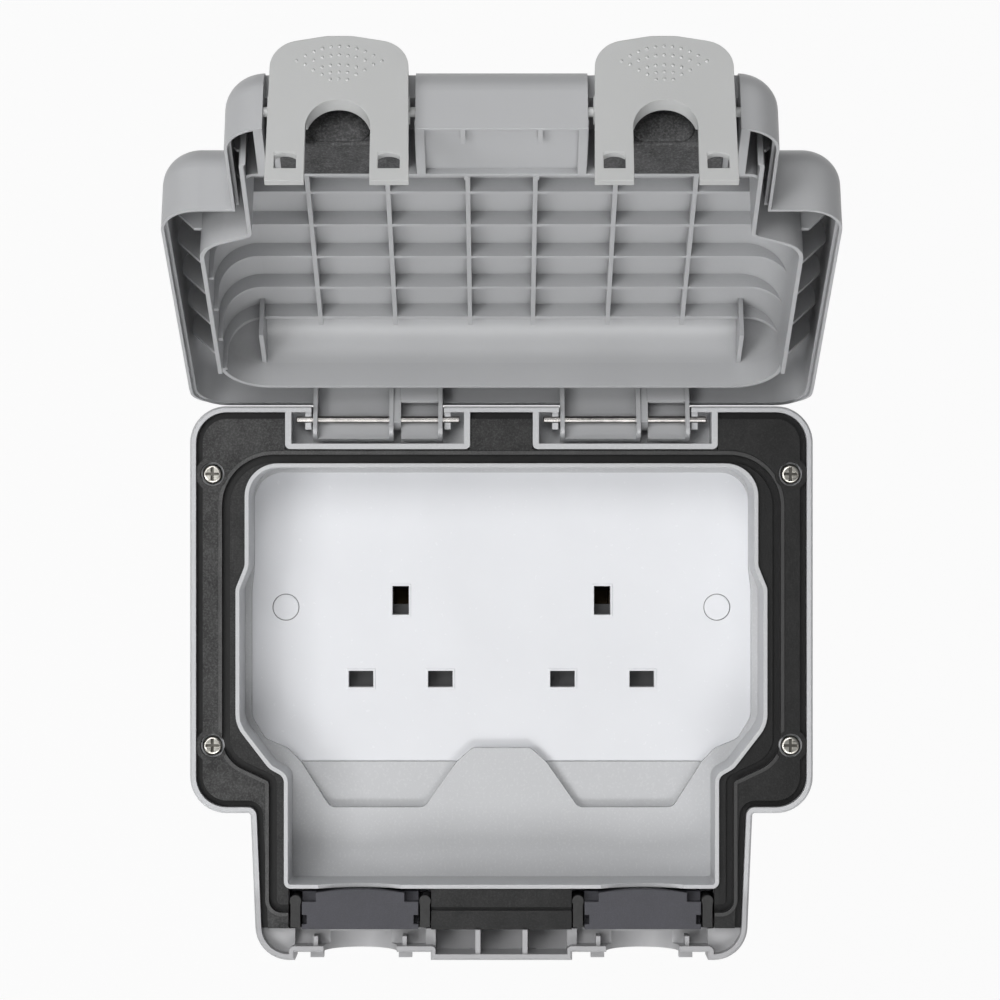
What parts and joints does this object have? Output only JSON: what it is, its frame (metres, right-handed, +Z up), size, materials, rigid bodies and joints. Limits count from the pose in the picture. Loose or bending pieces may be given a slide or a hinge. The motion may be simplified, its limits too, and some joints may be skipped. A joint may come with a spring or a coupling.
{
  "type": "outdoor weatherproof socket",
  "caption": "Grey weatherproof wall enclosure with a hinged lid, lever latches and cable seals over a white socket plate for plugs with three rectangular pins.",
  "frame": {"origin": "on the wall face, behind the centre of the socket plate", "axes": "+X to the right seen from the front, +Y into the wall, +Z up"},
  "size_m": [0.17, 0.1978, 0.2366],
  "materials": {
    "grey": "fine textured grey moulding",
    "lid_grey": "smooth satin grey moulding",
    "latch_grey": "fine textured lighter grey moulding",
    "white": "smooth white moulding",
    "dark_plastic": "plain dark moulding",
    "black_rubber": "moulded black rubber",
    "lid_rubber": "dusty dark rubber",
    "seal_foam": "soft closed foam",
    "steel": "plated steel",
    "spring_steel": "drawn wire",
    "brass": "plain brass"
  },
  "bodies": {
    "base": {"back_box": "grey", "box_seal": "black_rubber", "entry_plugs": "grey", "front_frame": "grey", "frame_gasket": "black_rubber", "foot_gasket": "black_rubber", "frame_screws": "steel", "socket_plate": "white", "screw_cap_left": "white", "screw_cap_right": "white", "plate_screws": "steel", "plate_inserts": "brass", "socket_housing": "dark_plastic", "housing_cover": "dark_plastic", "housing_screws": "steel", "line_contacts": "brass", "neutral_contacts": "brass", "earth_contacts": "brass", "terminal_screws": "steel", "shutter_spring_left": "spring_steel", "shutter_spring_right": "spring_steel", "base_cable_seal_left": "seal_foam", "base_cable_seal_right": "seal_foam", "seal_holder_left": "black_rubber", "seal_holder_right": "black_rubber", "hinge_pin_left": "steel", "hinge_pin_right": "steel", "earth_terminal": "brass", "earth_screw": "steel"},
    "lid": {"lid_shell": "lid_grey", "lid_cable_seal_left": "lid_rubber", "lid_cable_seal_right": "lid_rubber"},
    "latch_left": {"latch_left": "latch_grey"},
    "latch_right": {"latch_right": "latch_grey"},
    "shutter_left": {"shutter_left": "dark_plastic"},
    "shutter_right": {"shutter_right": "dark_plastic"}
  },
  "joints": [
    {"name": "lid_hinge", "type": "hinge", "parent": "base", "child": "lid", "pos_m": [0, -0.0585, 0.052], "axis": [1, 0, 0], "range_deg": [0, 115.5]},
    {"name": "latch_left_turn", "type": "hinge", "parent": "lid", "child": "latch_left", "pos_m": [-0.0386, -0.18348, 0.12214], "axis": [-1, 0, 0], "range_deg": [0, 15]},
    {"name": "latch_right_turn", "type": "hinge", "parent": "lid", "child": "latch_right", "pos_m": [0.0386, -0.18348, 0.12214], "axis": [-1, 0, 0], "range_deg": [0, 15]},
    {"name": "shutter_left_slide", "type": "slide", "parent": "base", "child": "shutter_left", "axis": [0, 0, -1], "range_m": [0, 0.0068], "stiffness_N_per_m": 60, "springref_m": -0.004, "deforming": ["shutter_spring_left"]},
    {"name": "shutter_right_slide", "type": "slide", "parent": "base", "child": "shutter_right", "axis": [0, 0, -1], "range_m": [0, 0.0068], "stiffness_N_per_m": 60, "springref_m": -0.004, "deforming": ["shutter_spring_right"]}
  ]
}
